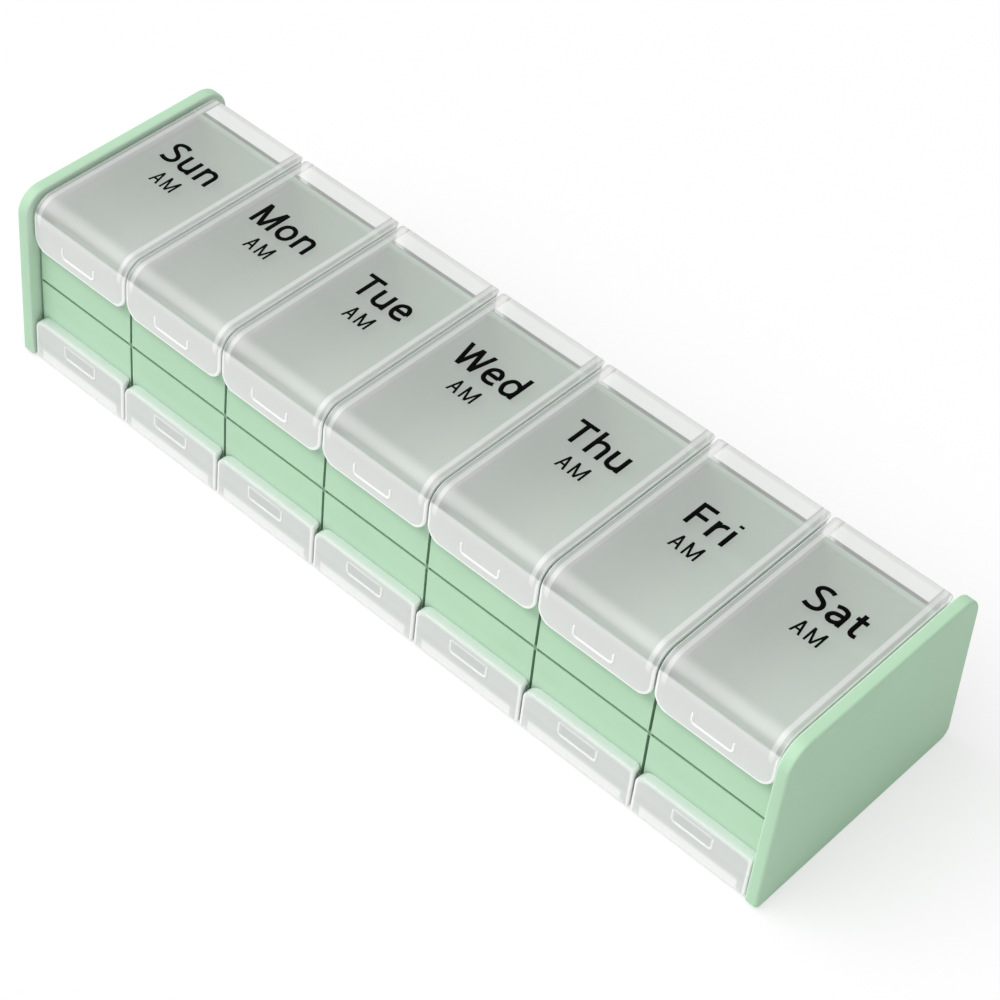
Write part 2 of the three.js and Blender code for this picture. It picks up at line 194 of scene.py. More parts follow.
GROUPS = {
    "organizer_body_sizes": OrganizerBodySizes,
    "organizer_lid_sizes": OrganizerLidSizes,
    "organizer_latch_sizes": OrganizerLatchSizes,
    "organizer_letter_sizes": OrganizerLetterSizes,
    "organizer_colours": OrganizerColours,
}


# Surfaces

# steps of a lid's profile along skirt, panel and flange, and round its curves
SKIRT_STEPS = 40
PROFILE_STEPS = [SKIRT_STEPS, 50, 5]
CURVE_STEPS = [16, 6]
# the skirt's rows crowd towards its free edge by this power
SKIRT_CROWD = 1.8
# steps of the quarter round along a lid's and a plate's edges, and of a plate's corner
EDGE_STEPS = 4
PLATE_EDGE_STEPS = 6
CORNER_STEPS = 16
# the most of a band's thickness that an edge's radius takes up
FULL_EDGE = 0.49
# the share of its width that a latch line keeps at its ends
LINE_END = 0.4


def spokes(turn):
    """Unit vectors at the given angles."""
    return np.stack([np.cos(turn), np.sin(turn)], -1)


def once_round(steps):
    """Angles once round in even steps."""
    return np.linspace(0, 2 * np.pi, steps + 1)[:-1]


def running_length(path):
    """Arc length from the first point of a path to each of its points."""
    steps = np.linalg.norm(np.diff(path, axis=0), axis=1)
    return np.concatenate([[0], np.cumsum(steps)])


def square_to(path, closed=False):
    """Unit vectors square to a path, from the step between each point's neighbours."""
    ahead = np.roll(path, -1, 0) - np.roll(path, 1, 0) if closed else np.gradient(path, axis=0)
    ahead /= np.linalg.norm(ahead, axis=1)[:, None]
    return np.stack([-ahead[:, 1], ahead[:, 0]], 1)


def corner_arc(before, corner, after, radius, steps):
    """The arc that touches both legs of a corner. Its centre lies radius / sin(half the
    corner's angle) along the bisector, and it touches the legs radius / tan(that half)
    from the corner. Gives the centre, both touching points and the angles between them."""
    before, after = ((leg - corner) / np.linalg.norm(leg - corner) for leg in (before, after))
    half = np.arccos(np.clip(before @ after, -1, 1)) / 2
    bisector = before + after
    centre = corner + bisector / np.linalg.norm(bisector) * radius / np.sin(half)
    reach = radius / np.tan(half)
    first, last = corner + before * reach, corner + after * reach
    spin_0, spin_1 = (np.arctan2(*(touch - centre)[::-1]) for touch in (first, last))
    sweep = (spin_1 - spin_0 + np.pi) % (2 * np.pi) - np.pi
    return centre, first, last, spin_0 + sweep * np.linspace(0, 1, steps + 1)


def rounded_path(corners, radii, arc_steps, straight_steps):
    """Points along straight runs and the arcs between them. Each run and each arc has a
    fixed number of steps, so that two such paths can be joined point by point."""
    corners = np.asarray(corners, float)
    pieces = []
    start = corners[0]
    for i, (radius, steps) in enumerate(zip(radii, arc_steps)):
        centre, first, last, turn = corner_arc(*corners[i : i + 3], radius, steps)
        pieces.append(np.linspace(start, first, straight_steps[i] + 1)[:-1])
        pieces.append(centre + radius * spokes(turn)[:-1])
        start = last
    pieces.append(np.linspace(start, corners[-1], straight_steps[-1] + 1))
    return np.concatenate(pieces)


class Shells:
    """Closed surfaces gathered into one mesh, with marks in millimetres that the materials
    read: the places across the lid and along its profile, the distance rim from its free
    edges and how deep a point lies."""

    def __init__(self):
        self.points = []
        self.faces = []
        self.smooth = []
        self.marks = {"across": [], "along": [], "rim": [], "deep": []}
        self.total = 0

    def add(self, grid, across=0.0, along=0.0, rim=0.0, deep=0.0, looped=False):
        """Rows of a grid are closed rings. Neighbouring rings are joined by quads, and
        the first and last ring are joined too when looped, or else each gets a flat
        cap. The enclosed volume's sign decides which way the faces turn."""
        rows, columns = grid.shape[:2]
        index = np.arange(rows * columns).reshape(rows, columns)
        if looped:
            index = np.concatenate([index, index[:1]])
        low, high = index[:-1], index[1:]
        quads = np.stack([low, np.roll(low, -1, 1), np.roll(high, -1, 1), high], -1).reshape(-1, 4)
        flat = grid.reshape(-1, 3)
        origin = flat.mean(0)
        a, b, c, d = (flat[quads[:, k]] - origin for k in range(4))
        volume = np.einsum("ij,ij->", a, np.cross(b, c)) + np.einsum("ij,ij->", a, np.cross(c, d))
        caps = [] if looped else [index[0][::-1], index[-1]]
        if volume < 0:
            quads = quads[:, ::-1]
            caps = [cap[::-1] for cap in caps]
        self.faces += (quads + self.total).tolist() + [(cap + self.total).tolist() for cap in caps]
        self.smooth += [True] * len(quads) + [False] * len(caps)
        self.points.append(flat)
        for name, values in zip(self.marks, (across, along, rim, deep)):
            self.marks[name].append(np.broadcast_to(values, (rows, columns)).reshape(-1) / MILLI)
        self.total += len(flat)

    def build(self, name, material):
        mesh = bpy.data.meshes.new(name)
        mesh.from_pydata(np.concatenate(self.points), [], self.faces)
        mesh.polygons.foreach_set("use_smooth", self.smooth)
        for mark, values in self.marks.items():
            layer = mesh.attributes.new(mark, "FLOAT", "POINT")
            layer.data.foreach_set("value", np.concatenate(values).astype(np.float32))
        mesh.update()
        piece = bpy.data.objects.new(name, mesh)
        bpy.context.scene.collection.objects.link(piece)
        piece.data.materials.append(material)
        return piece


def section(columns):
    """A rounded rectangle as a ring in three rows: the share of the half width, then how
    far the edge's arc reaches along X and into the depth, in shares of its radius. The
    outer face runs from -1 to 1, one quarter arc leads to the middle of the side and
    another to the inner face, and so on round. The second result is 0 where the depth
    counts from the outer face and 1 where from the inner one."""
    level = np.zeros(columns)
    face = np.stack([np.linspace(-1, 1, columns), level, level])
    turn = np.linspace(0, np.pi / 2, EDGE_STEPS + 1)[1:]
    full = np.ones(EDGE_STEPS)
    outer_arc = [full, np.sin(turn), 1 - np.cos(turn)]
    inner_arc = [full, np.cos(turn), np.sin(turn) - 1]
    side = np.concatenate([outer_arc, inner_arc], 1)
    side_end = np.repeat([0, 1], EDGE_STEPS)
    far_side = (side * [[-1], [-1], [1]])[:, ::-1]
    ring = np.concatenate([face, side, face[:, ::-1][:, 1:], far_side[:, 1:]], 1)
    end = np.concatenate([level, side_end, level[1:] + 1, side_end[::-1][1:]])
    return ring, end


def ruled_bar(shells, middle_x, near, far, half_widths, edge, along, rim, deep=0.0, swell=None, columns=17):
    """A band between two paths that run side by side in the Y-Z plane. A point of the
    cross-section lies at x = middle + share of the half width on its side, and at a share
    q from the near path to the far one; its corners are arcs of radius edge. swell narrows
    the near and the far half of a ring to round the band's ends. rim is a number or is
    worked out from x and along, and the depth starts at deep."""
    ring, end = section(columns)
    thickness = np.linalg.norm(far - near, axis=1)[:, None]
    soft = np.minimum(edge, thickness * FULL_EDGE)
    left, right = np.broadcast_to(half_widths, (2, len(near)))[..., None]
    x = ring[0] * (np.where(ring[0] < 0, left, right) - soft) + ring[1] * soft
    q = end + ring[2] * soft / thickness
    depth = deep + q * thickness
    if swell is not None:
        q = 0.5 + (q - 0.5) * np.where(q < 0.5, *swell[..., None])
    yz = near[:, None] + (far - near)[:, None] * q[..., None]
    grid = np.concatenate([(middle_x + x)[..., None], yz], -1)
    if callable(rim):
        rim = rim(x, along[:, None])
    shells.add(grid, x, along[:, None], rim, depth)


def end_plate_surface(sizes, way):
    """A four-cornered outline with its own radius at each corner, carried along X. Near
    each face the outline draws in by edge * (1 - cos) while x moves by edge * sin, so
    that the rim is a quarter round."""
    slope = np.tan(sizes.lean)
    front, top = -sizes.depth / 2, sizes.height
    corners = np.array([[front, 0], [-front, 0], [-front - top * slope, top], [front + top * slope, top]])
    places = ("front", "back", "top", "top")
    radii = np.array([getattr(sizes, f"plate_{place}_radius") for place in places])
    arcs = [
        corner_arc(corners[i - 1], corners[i], corners[(i + 1) % 4], radii[i], CORNER_STEPS)
        for i in range(4)
    ]
    centres = np.repeat([arc[0] for arc in arcs], CORNER_STEPS + 1, axis=0)
    spins = np.concatenate([arc[-1] for arc in arcs])
    turn = np.linspace(0, np.pi / 2, PLATE_EDGE_STEPS + 1)
    inset = sizes.plate_edge * (1 - np.cos(turn))
    inset = np.concatenate([inset[::-1], inset])
    reach = sizes.plate_edge * (1 - np.sin(turn))
    x = np.concatenate([reach[::-1], sizes.plate_thickness - reach])
    size = np.repeat(radii, CORNER_STEPS + 1) - inset[:, None]
    yz = centres + size[..., None] * spokes(spins)
    x = np.broadcast_to(way * (sizes.plate_face + x)[:, None, None], size.shape + (1,))
    return np.concatenate([x, yz], -1)


class Side:
    """The sizes of one side's lids: up is 1 for the morning and -1 for the evening."""

    def __init__(self, name, body, lid, latch):
        own = SIDES.index(name)
        self.name = name
        self.up = 1 - 2 * own
        self.slope = np.tan(body.lean)
        self.front = -body.depth / 2 + lid.setback[own]
        self.face = lid.inset[own] if own else body.height - lid.inset[own]
        self.skirt = lid.reach[own]
        self.thick = lid.skirt[own]
        self.corner = lid.corner[own]
        self.end_corner = lid.end_corner[own]
        self.radius = lid.radius[own]
        self.inner_radius = max(self.radius - lid.panel, lid.edge / 2)
        self.drop = latch.drop[own]
        self.shift = latch.shift[own]
        self.mark_width = latch.width[own]
        self.mark_height = latch.height[own]
        self.rib_x = lid.width / 2 - lid.rib_inset - lid.rib_width / 2
        # a distance from the free edges that reads as well inside the plastic
        self.inside = lid.edge * 3
        self.back = body.depth / 2 - body.height * self.slope - lid.back
        self.hinge_y = self.back - lid.hinge_in
        self.hinge_z = self.z(lid.hinge_drop)
        # where the outer profile's curves start and end, from the skirt's free edge
        half_angle = (np.pi / 2 + self.up * body.lean) / 2
        reach = self.radius / np.tan(half_angle)
        self.curve_start = self.skirt / np.cos(body.lean) - reach
        self.curve_end = self.curve_start + self.radius * (np.pi - 2 * half_angle)
        self.back_start = self.curve_end + self.back - lid.back_radius - self.skirt_y(0) - reach

    def z(self, drop):
        """Height of a point that lies drop behind the lid's face."""
        return self.face - self.up * drop

    def skirt_y(self, drop, depth=0.0):
        """The leaning skirt's outer face at a drop behind the lid's face."""
        return self.front + self.z(drop) * self.slope + depth


def lid_path(side, depths, foot, radii):
    """The lid's profile at given depths inside the outer faces of skirt, panel and
    flange: up the leaning skirt, round the front, along the panel, round the back and
    down the flange to its foot."""
    into_skirt, into_panel, into_flange = depths
    corners = [
        (side.skirt_y(side.skirt, into_skirt), side.z(side.skirt)),
        (side.skirt_y(into_panel, into_skirt), side.z(into_panel)),
        (side.back - into_flange, side.z(into_panel)),
        (side.back - into_flange, side.z(foot)),
    ]
    return rounded_path(corners, radii, CURVE_STEPS, PROFILE_STEPS)


def rib_path(side, lid, low, depth):
    """One face of a sealing rib, at a depth inside the lid's inner face: straight along
    the panel, and on the morning side also round the curve down to the skirt."""
    level = side.z(lid.panel + depth)
    back = (side.back - lid.rib_back, level)
    if side.up < 0:
        return np.linspace((side.skirt_y(0, lid.pm_rib_front), level), back, 31)
    corners = [
        (side.skirt_y(low, side.thick + depth), side.z(low)),
        (side.skirt_y(lid.panel + depth, side.thick + depth), level),
        back,
    ]
    return rounded_path(corners, [side.inner_radius - depth], [12], [3, 30])


def sealing_ribs(shells, side, x, lid):
    """Two narrow bands inside the lid, one near each of its sides."""
    low = side.radius + lid.rib_root
    near, far = (rib_path(side, lid, low, depth) for depth in (-lid.rib_root, lid.rib_depth))
    run = running_length(near) + side.skirt - low
    for way in (-1, 1):
        ruled_bar(
            shells, x + way * side.rib_x, near, far, lid.rib_width / 2, lid.edge / 2, run,
            side.inside, deep=lid.rib_mark, columns=3,
        )


def hinge_knuckle(shells, side, x, lid, foot, run):
    """A web from the flange's foot to the hinge, and a bored barrel: an outline with
    bevelled ends, turned about the hinge's axis."""
    reach, soft = lid.knuckle_width / 2, lid.edge / 2
    web = np.linspace((side.back, side.z(foot - lid.edge)), (side.back, side.z(lid.hinge_drop)), 5)
    inner_web = web - (lid.flange, 0)
    ruled_bar(shells, x, web, inner_web, reach, soft, np.full(len(web), run), side.inside, columns=9)
    outline = np.array([
        [-reach, lid.bore], [-reach, lid.knuckle - soft], [-reach + soft, lid.knuckle],
        [reach - soft, lid.knuckle], [reach, lid.knuckle - soft], [reach, lid.bore],
    ])
    spin = spokes(once_round(32))
    barrel = np.empty((len(spin), len(outline), 3))
    barrel[..., 0] = x + outline[:, 0]
    barrel[..., 1:] = (side.hinge_y, side.hinge_z) + outline[:, 1, None] * spin[:, None]
    shells.add(barrel, outline[:, 0], run, side.inside, looped=True)


def latch_mark(shells, side, x, latch):
    """Raised lines on the skirt: a half ellipse carried down one side of a rounded
    rectangle, along its foot and up the other side, and on the evening side a finer one
    along its top. A line tapers at its ends. The mark rim is negative on them."""
    wide, high = side.mark_width / 2, side.mark_height / 2
    corners = [(-wide, high), (-wide, -high), (wide, -high), (wide, high)]
    around = rounded_path(corners, [latch.corner] * 2, [8, 8], [8, 20, 8])
    lines = [(around, latch.line, latch.proud, -MILLI)]
    if side.up < 0:
        above = np.linspace(corners[0], corners[-1], 21)
        lines.append((above, latch.top_line, latch.proud / 2, -MILLI / 2))
    turn = once_round(12)
    for path, line, height, mark in lines:
        run = running_length(path)
        taper = np.clip(np.minimum(run, run[-1] - run) / line + LINE_END, LINE_END, 1)[:, None]
        flat = path[:, None] + square_to(path)[:, None] * (line / 2 * taper * np.cos(turn))[..., None]
        proud = height * taper * np.sin(turn)
        drop = side.drop - flat[..., 1] * side.up
        grid = np.stack([x + side.shift + flat[..., 0], side.skirt_y(drop) - proud, side.z(drop)], -1)
        shells.add(grid, flat[..., 0], side.skirt - drop, mark)


def make_lid(name, side, x, lid, latch, material):
    """The lid's shell is the band between its outer and inner profile. Its half width
    draws in by a quarter circle at the skirt's free corners and at the back corners.
    Ribs, knuckle and latch mark are shells of their own inside the same mesh."""
    shells = Shells()
    foot = lid.hinge_drop - lid.knuckle - lid.knuckle_gap
    outer = lid_path(side, (0, 0, 0), foot, (side.radius, lid.back_radius))
    inner = lid_path(side, (side.thick, lid.panel, lid.flange), foot, (side.inner_radius, lid.back_radius))
    crowd = np.linspace(0, 1, SKIRT_STEPS + 1)[:, None] ** SKIRT_CROWD
    for path in (outer, inner):
        path[: SKIRT_STEPS + 1] = path[0] + (path[SKIRT_STEPS] - path[0]) * crowd
    along = running_length(outer)
    if side.up < 0:
        inner[:, 0] += lid.pm_lip * np.sqrt(np.clip(1 - along / lid.lip_height, 0, 1))
    half = lid.width / 2
    behind = np.clip(outer[:, 0] - side.back + lid.back_corner, 0, lid.back_corner)
    back_draw = lid.back_corner - np.sqrt(lid.back_corner**2 - behind**2)
    half_widths = [
        half - back_draw - radius + np.sqrt(radius**2 - np.clip(radius - along, 0, None) ** 2)
        for radius in (side.corner, side.end_corner)
    ]
    near_end = np.clip(1 - np.minimum(along, along[-1] - along) / lid.edge, 0, 1)
    drawn_in = lid.edge * (1 - np.sqrt(1 - near_end**2))
    # an evening skirt's lip keeps its edge towards the tray
    kept = (along < lid.lip_height) & (side.up < 0)
    both = np.stack([drawn_in, np.where(kept, 0, drawn_in)])
    swell = 1 - 2 * both / np.linalg.norm(inner - outer, axis=1)

    def rim(across, run):
        """Distance from the free edges of the skirt and the sides of the lid."""
        radius = np.where(across < 0, side.corner, side.end_corner)
        into = np.clip(radius - run, 0, None)
        beside = np.clip(np.abs(across) - half + radius, 0, None)
        straight = np.minimum(half - np.abs(across), run)
        return np.where((into > 0) & (beside > 0), radius - np.hypot(into, beside), straight)

    ruled_bar(shells, x, outer, inner, half_widths, lid.edge, along, rim, swell=swell)
    sealing_ribs(shells, side, x, lid)
    hinge_knuckle(shells, side, x, lid, foot, along[-1])
    latch_mark(shells, side, x, latch)
    return shells.build(name, material)


# Materials


class Value:
    """A number socket that turns Python arithmetic into Math nodes."""

    def __init__(self, tree, socket):
        self.tree = tree
        self.socket = socket

    def math(self, operation, *operands, clamp=False):
        node = self.tree.node(
            "ShaderNodeMath", {"operation": operation, "use_clamp": clamp}, dict(enumerate(operands))
        )
        return Value(self.tree, node.outputs[0])

    def __add__(self, other):
        return self.math("ADD", self, other)

    def __mul__(self, other):
        return self.math("MULTIPLY", self, other)

    __radd__ = __add__
    __rmul__ = __mul__

    def __sub__(self, other):
        return self.math("SUBTRACT", self, other)

    def __rsub__(self, other):
        return self.math("SUBTRACT", other, self)

    def __abs__(self):
        return self.math("ABSOLUTE", self)

    def over(self, low, high):
        """0 below low, 1 above high, and smooth between."""
        node = self.tree.node(
            "ShaderNodeMapRange", {"interpolation_type": "SMOOTHSTEP"},
            {"Value": self, "From Min": low, "From Max": high},
        )
        return Value(self.tree, node.outputs["Result"])

    def under(self, low, high):
        """1 below low, 0 above high, and smooth between."""
        return 1 - self.over(low, high)

    def near(self, middle, solid, faded):
        """1 within solid of the middle, 0 beyond faded, and smooth between."""
        return abs(self - middle).under(solid, faded)

    def blend(self, first, second):
        """The first where this is 0 and the second where it is 1."""
        return first + self * (second - first)

    def most(self, other):
        return self.math("MAXIMUM", self, other)

    def clear(self):
        """Kept between 0 and 1."""
        return self.math("ADD", self, 0.0, clamp=True)


class Tree:
    """A node tree, and what makes nodes in it."""

    def __init__(self, node_tree):
        self.node_tree = node_tree

    def node(self, kind, settings=None, values=None):
        """A node with its settings, which go in first, and its sockets' values."""
        made = self.node_tree.nodes.new(kind)
        for key, value in (settings or {}).items():
            setattr(made, key, value)
        for key, value in (values or {}).items():
            self.feed(made.inputs[key], value)
        return made

    def feed(self, socket, value):
        value = getattr(value, "socket", value)
        if isinstance(value, bpy.types.NodeSocket):
            self.node_tree.links.new(value, socket)
        elif hasattr(socket.default_value, "__len__"):
            value = tuple(value)
            socket.default_value = value + (1.0,) * (len(socket.default_value) - len(value))
        else:
            socket.default_value = value

    def seen(self):
        """1 for what the camera sees, also mirrored or through glass, else 0."""
        ray = self.node("ShaderNodeLightPath")
        straight, mirrored, through = (
            Value(self, ray.outputs[f"Is {kind} Ray"]) for kind in ("Camera", "Glossy", "Transmission")
        )
        return straight.most(mirrored).most(through)


class Finish(Tree):
    """A material and its tone, the colour worked out so far."""

    def __init__(self, name, tone=None):
        self.material = bpy.data.materials.new(name)
        self.material.use_nodes = True
        super().__init__(self.material.node_tree)
        self.surface = self.node_tree.nodes["Principled BSDF"]
        self.tone = tone

    def set(self, **values):
        for key, value in values.items():
            self.feed(self.surface.inputs[key.replace("_", " ").title()], value)

    def place(self):
        return self.node("ShaderNodeTexCoord").outputs["Object"]

    def mark(self, name):
        node = self.node("ShaderNodeAttribute", {"attribute_type": "GEOMETRY", "attribute_name": name})
        return Value(self, node.outputs["Fac"])

    def grain(self, size, detail=2.0, stretch=None):
        """Noise with features of about the given size in metres."""
        where = self.place()
        if stretch:
            where = self.node("ShaderNodeMapping", {}, {"Vector": where, "Scale": stretch}).outputs["Vector"]
        node = self.node("ShaderNodeTexNoise", {}, {"Vector": where, "Scale": 1 / size, "Detail": detail})
        return Value(self, node.outputs["Fac"])

    def cloud(self, size):
        """Soft patches of about the given size."""
        return self.grain(size).over(0.3, 0.7)

    def mix(self, mask, first, second):
        node = self.node("ShaderNodeMix", {"data_type": "RGBA"}, {"Factor": mask, 6: first, 7: second})
        return node.outputs[2]

    def lay(self, mask, over):
        """Lays a further colour over the tone so far."""
        self.tone = self.mix(mask.clear(), self.tone, over)

    def bump(self, height, strength, distance):
        node = self.node("ShaderNodeBump", {}, {"Height": height, "Strength": strength, "Distance": distance})
        self.feed(self.surface.inputs["Normal"], node.outputs["Normal"])


def scaled(tone, factor):
    return tuple(channel * factor for channel in tone)


def moulded_green(colours, tray=False):
    """Satin polypropylene: an even green with a very fine moulded grain. Painted light makes
    the end plates paler on the faces beside the lids, and the trays a little paler beside the
    evening skirts; a painted shadow darkens the trays' front wall just below the morning ones.
    Painted shade darkens the grooves and the rims between two lids: they lie at the seam's
    height and midway between two days. All places are in millimetres."""
    finish = Finish("moulded_green_tray" if tray else "moulded_green")
    finish.tone = finish.mix(finish.cloud(0.02), scaled(colours.green, 0.985), scaled(colours.green, 1.015))
    place = finish.node("ShaderNodeSeparateXYZ", {}, {"Vector": finish.place()})
    x, y, z = (Value(finish, place.outputs[axis]) * (1 / MILLI) for axis in "XYZ")
    if tray:
        painted_light_foot, painted_light_top = (10.5, 11.5), (11.5, 17)
        painted_shadow_foot, painted_shadow_top = (28.2, 31.2), (31.4, 33)
        seam_half, groove_half, rim_half = (0.3, 0.42), (0.33, 0.37), (0.7, 1.1)
        rim_foot, wall_back = (39.5, 41), (-26, -25)
        first, second = (lid_middle(day) / MILLI for day in DAYS[:2])
        half_pitch = (second - first) / 2
        aside = x.math("PINGPONG", x - (first + half_pitch), half_pitch)
        seam_height = (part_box("am_tray")[0].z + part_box("pm_tray")[1].z) / 2 / MILLI
        wall = y.under(*wall_back)
        # painted light: the trays a little paler beside the evening skirts
        finish.lay(z.over(*painted_light_foot) * z.under(*painted_light_top) * 0.4, colours.painted_light_green)
        # painted shadow on the front wall just below the morning skirts
        finish.lay(z.over(*painted_shadow_foot) * z.under(*painted_shadow_top) * wall * 0.3, colours.groove)
        # painted shade in the seam, in the grooves between days and on the rims between two lids
        seam = z.near(seam_height, *seam_half) * 0.85
        groove_shade = aside.under(*groove_half) * wall
        between_lids_shade = aside.under(*rim_half) * z.over(*rim_foot)
        finish.lay(seam.most(groove_shade).most(between_lids_shade), colours.groove)
    else:
        inner_face = (108.9, 109.5)
        # painted light: the plates' faces beside the lids are paler
        finish.lay(abs(x).under(*inner_face) * 0.8, colours.painted_light_green)
    fine = finish.grain(0.0004, 3.0)
    finish.set(base_color=finish.tone, roughness=0.47 + fine * 0.12)
    finish.bump(fine, 0.12, 0.00004)
    return finish.material


def frosted(colours, side):
    """Frosted polypropylene: greyer and clearer over the compartments, whiter at thick
    edges, at the sealing ribs and on the skirt, with a fine frost. Painted light and shade
    lie over it: a lighter right side and a shaded left side on the panels, highlights on the
    round front, the edges, the latch lines and the evening skirts' sides and feet, and a lit
    strip with a lit line and a shadow line before the rear. All places are in millimetres,
    and along counts from the skirt's free edge."""
    morning = side.up > 0
    finish = Finish(f"frosted_{side.name}", colours.skirt if morning else colours.pm_skirt)
    across, along, rim, deep = (finish.mark(name) for name in ("across", "along", "rim", "deep"))
    beside = abs(across)
    start, end, back = (place / MILLI for place in (side.curve_start, side.curve_end, side.back_start))
    # where the panel begins to show, and the middle of the round front
    panel_from, curve_middle = (start + part * (end - start) for part in (0.18, 0.65))
    # places before the rear curve
    strip_from, dark_at, bright_at, middle_at = (back - before for before in (4.9, 5.25, 6.1, 25.9))
    # the rib's bright line lies a little outside the rib's middle
    rib_at = side.rib_x / MILLI + 0.28

    inner = deep.over(0.4, 0.8)
    outer = 1 - inner
    within = deep.over(3.0, 4.0)
    on_panel = along.over(panel_from, panel_from + 0.8)
    between = beside.under(12.2, 12.9)
    rightward = across.over(-13.0, 13.0)
    # where a painted highlight lies across the round front
    curve = along.near(curve_middle, 0.2, 2.8) * on_panel
    shade = on_panel * along.under(panel_from + 1.4, panel_from + 3.0)
    strip = along.over(strip_from, strip_from + 0.4) * between * outer
    flange = along.over(back - 1.4, back - 0.4)
    painted_lit_line = along.near(bright_at, 0.15, 0.45) * outer
    painted_shadow_line = along.near(dark_at, 0.3, 0.6) * between * outer
    middle_line = along.near(middle_at, 0.1, 0.5) * between
    rib = abs(across + 0.05).near(rib_at, 0.35, 0.75) * along.over(start - 1.5, start + 1.5) * outer
    # the edges are whiter, thick plastic under a painted highlight, and this bright edge is wider on the
    # skirt than on the panel
    edge = (rim - along.under(start, start + 2.0) * 0.35).under(0.1, 0.5)
    border = beside.over(14.0, 14.4) * on_panel
    latch_line = rim.under(-0.8, -0.3)
    dim = ((1 - rightward) * 0.16 + along.over(end, end + 22.0) * 0.2) * on_panel

    finish.lay(on_panel, colours.panel)
    # painted light makes the panels lighter towards their right side; a faint pale line lies across them near
    # their middle
    finish.lay(rightward * on_panel * 0.5 + middle_line * 0.2, colours.rim)
    # painted shade just behind where the panel begins
    finish.lay(shade * 0.5, scaled(colours.panel, 0.7))
    # painted shade darkens the panels on their left side; they also grow darker towards the back
    finish.lay(dim, colours.shade)
    # painted highlight across the round front
    finish.lay(curve * 0.15, colours.rim)
    # painted light seen through the lid from behind lies on the rear strip, less over the flange, with a
    # painted lit line of the tray's back rim before it
    finish.lay(strip * 0.85 - flange * 0.6 + painted_lit_line * 0.45, colours.rim)
    # painted shadow line before the rear strip
    finish.lay(painted_shadow_line * 0.75, colours.shade)
    finish.lay(rib * 0.33, colours.rim)
    opaque = on_panel.blend(colours.skirt_share, colours.panel_share)
    hidden = on_panel.blend(colours.skirt_inner_share, colours.panel_inner_share)
    if morning:
        # the edges and the raised latch lines are white: thick plastic under a painted highlight
        finish.lay(edge, colours.line)
        finish.lay(latch_line, colours.line)
    else:
        # the evening skirts carry painted light, white where the tray's rim ends behind them, under a painted
        # soft shade, and the latch window is clearer than the skirt
        low = along.over(start - 3.4, start - 1.9) * beside.under(12.6, 13.2)
        soft = along.near(start - 4.3, 0.4, 1.8)
        window = across.near(side.shift / MILLI, 4.3, 4.9)
        window = window * along.near((side.skirt - side.drop) / MILLI, 0.8, 1.5)
        lip = rim.under(0.05, 0.4) * along.under(1.4, 3.0)
        side_highlight = beside.over(14.3, 14.8) * (1 - on_panel)
        finish.lay(soft * 0.35 + window * 0.25, scaled(colours.pm_skirt, 0.86))
        finish.lay(low * 0.9, colours.line)
        finish.lay(edge * 0.1, colours.rim)
        finish.lay(lip * (0.4 + deep.over(0.4, 2.2) * 0.6), colours.lip)
        # painted highlight on the skirts' right side faces, and on the latch lines over their thick plastic
        finish.lay(side_highlight * 0.8 + latch_line * 0.5, colours.line)
        opaque = opaque - window * 0.05
    finish.lay(finish.cloud(0.012) * 0.04, scaled(colours.panel, 0.9))
    opaque = inner.blend(opaque, hidden)
    opaque = opaque + rib * 0.22 + edge * 0.3 + strip * 0.4 + curve * 0.08 - border * 0.04
    opaque = within.blend(opaque, along.over(start - 0.6, start + 3.0) * 0.5)
    opaque = opaque.most(latch_line)
    if not morning:
        opaque = opaque.most(lip * 0.95)
    frost = finish.grain(0.00035, 3.0)
    finish.set(base_color=finish.tone, alpha=opaque.clear(), roughness=0.3 + frost * 0.1)
    finish.bump(frost, 0.1, 0.00003)
    return finish.material


def printed_ink(colours):
    """Screen-printed ink, nearly black, a little uneven."""
    finish = Finish("printed_ink")
    speckle = finish.grain(0.0005, 3.0)
    finish.set(base_color=finish.mix(speckle.over(0.35, 0.75), colours.ink, scaled(colours.ink, 1.6)))
    finish.set(roughness=0.5 + speckle * 0.15)
    finish.surface.inputs["Specular IOR Level"].default_value = 0.01
    finish.bump(speckle, 0.1, 0.00002)
    return finish.material


def drawn_steel(colours):
    """Bright drawn wire with fine lines along its length."""
    finish = Finish("drawn_steel")
    lines = finish.grain(0.0003, 2.0, stretch=(0.02, 1.0, 1.0))
    finish.set(base_color=finish.mix(lines, scaled(colours.steel, 0.85), colours.steel), metallic=1.0)
    finish.set(roughness=0.25 + lines * 0.12)
    finish.bump(lines, 0.1, 0.00002)
    return finish.material


def pale_floor(colours):
    """A pale floor that the camera sees partly as plain white, with a light shadow."""
    finish = Finish("pale_floor")
    seen = finish.seen()
    glow = 0.58
    finish.set(base_color=finish.mix(seen, colours.floor, scaled(colours.floor, 1 - glow)))
    finish.set(roughness=1.0, emission_color=finish.mix(seen, (0.0,) * 3, (glow,) * 3))
    finish.surface.inputs["Specular IOR Level"].default_value = 0.0
    finish.surface.inputs["Emission Strength"].default_value = 1.0
    return finish.material


def settings():
    """The sizes of the body, lids, latch marks and letters, and the colours."""
    return [getattr(bpy.context.scene, name) for name in GROUPS]


def lid_middle(day):
    """The middle of a lid along the row."""
    low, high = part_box(f"am_lid_{day}")
    return (low.x + high.x) / 2


# Operators


